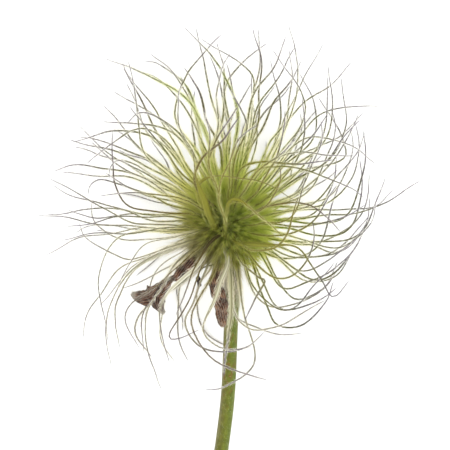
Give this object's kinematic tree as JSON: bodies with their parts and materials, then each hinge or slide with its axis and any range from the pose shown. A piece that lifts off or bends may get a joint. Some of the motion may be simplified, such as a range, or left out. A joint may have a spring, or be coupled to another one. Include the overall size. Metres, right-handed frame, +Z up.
{
  "type": "pasque flower seed head",
  "caption": "Plumed seed head of a pasque flower on its cut stem, lying down: long silky awns stand out all round a small core, with withered tepals below it.",
  "frame": {"origin": "on the resting surface, straight below the middle of the seed head, on the flat underside of the lowest awn", "axes": "+Z up from the surface, -Y along the stem towards its cut end, +X to the right of someone who looks down with the stem towards them"},
  "size_m": [0.0928, 0.1338, 0.0654],
  "materials": {
    "stem": "fresh green stalk with a soft sheen, fine ribs, brown flecks and sparse white hairs",
    "awn": "silky pale green plumes over an olive thread that dries to grey brown at its tip",
    "withered_tepal": "withered, dull brown, crumpled along dark veins, with grey woolly tips",
    "dried_stamen": "dried, dull dark brown"
  },
  "bodies": {
    "root": {"stem": "stem", "seed_head": "awn", "tepal_left": "withered_tepal", "tepal_right": "withered_tepal", "dried_stamen": "dried_stamen"}
  },
  "joints": []
}
